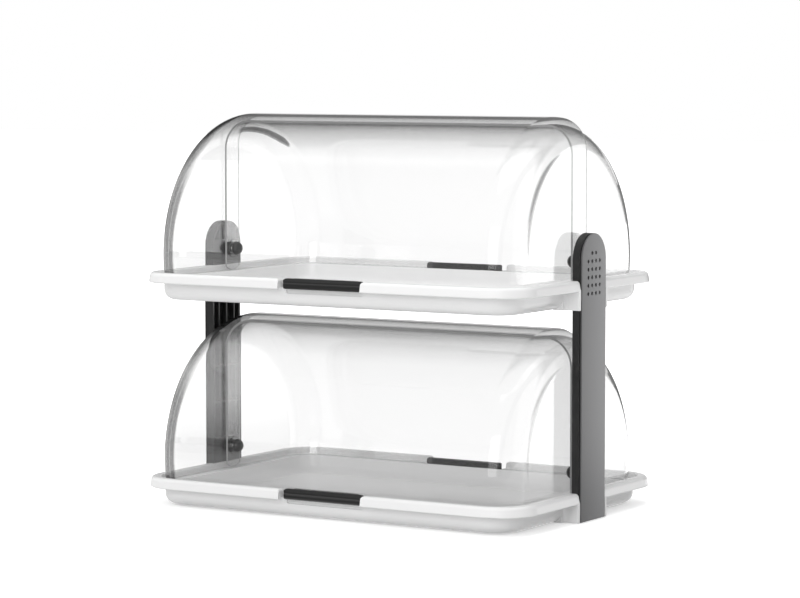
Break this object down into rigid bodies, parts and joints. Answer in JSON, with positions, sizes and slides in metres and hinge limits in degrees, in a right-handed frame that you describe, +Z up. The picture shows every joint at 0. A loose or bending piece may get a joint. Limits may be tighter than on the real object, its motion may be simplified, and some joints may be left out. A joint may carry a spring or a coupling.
{
  "type": "countertop bread display bin",
  "caption": "Tiered countertop bread display bin: shallow trays between side uprights, each under clear front and back covers that roll over and under each other.",
  "frame": {"origin": "middle of the footprint, on the counter under the lower tray", "axes": "+X along the bin's length, to the right seen from the front; +Y to the back; +Z up"},
  "size_m": [0.451, 0.3074, 0.3995],
  "materials": {
    "tray_white": "moulded, glossy white",
    "cover_clear": "formed, water-clear and glossy",
    "handle_black": "moulded, satin black",
    "knob_black": "moulded, satin black",
    "disc_black": "moulded, matt black",
    "upright_black": "moulded, fine satin",
    "plate_charcoal": "moulded, fine satin",
    "screw_black": "blackened steel",
    "pad_rubber": "soft matt pad"
  },
  "bodies": {
    "stand": {"tray_lower": "tray_white", "pivot_pin_lower_left": "knob_black", "pivot_disc_lower_left": "disc_black", "pivot_pin_lower_right": "knob_black", "pivot_disc_lower_right": "disc_black", "tray_screws_lower": "screw_black", "tray_upper": "tray_white", "pivot_pin_upper_left": "knob_black", "pivot_disc_upper_left": "disc_black", "pivot_pin_upper_right": "knob_black", "pivot_disc_upper_right": "disc_black", "tray_screws_upper": "screw_black", "upright_left": "upright_black", "face_plate_left": "plate_charcoal", "upright_right": "upright_black", "face_plate_right": "plate_charcoal", "pivot_screws": "screw_black", "foot_pads": "pad_rubber"},
    "front_cover_lower": {"cover_front_lower": "cover_clear", "handle_front_lower": "handle_black"},
    "back_cover_lower": {"cover_back_lower": "cover_clear", "handle_back_lower": "handle_black"},
    "front_cover_upper": {"cover_front_upper": "cover_clear", "handle_front_upper": "handle_black"},
    "back_cover_upper": {"cover_back_upper": "cover_clear", "handle_back_upper": "handle_black"}
  },
  "joints": [
    {"name": "front_cover_lower_hinge", "type": "hinge", "parent": "stand", "child": "front_cover_lower", "pos_m": [0, 0, 0.046], "axis": [-1, 0, 0], "range_deg": [0, 93]},
    {"name": "back_cover_lower_hinge", "type": "hinge", "parent": "stand", "child": "back_cover_lower", "pos_m": [0, 0, 0.046], "axis": [-1, 0, 0], "range_deg": [-93, 0]},
    {"name": "front_cover_upper_hinge", "type": "hinge", "parent": "stand", "child": "front_cover_upper", "pos_m": [0, 0, 0.2565], "axis": [-1, 0, 0], "range_deg": [0, 93]},
    {"name": "back_cover_upper_hinge", "type": "hinge", "parent": "stand", "child": "back_cover_upper", "pos_m": [0, 0, 0.2565], "axis": [-1, 0, 0], "range_deg": [-93, 0]}
  ]
}
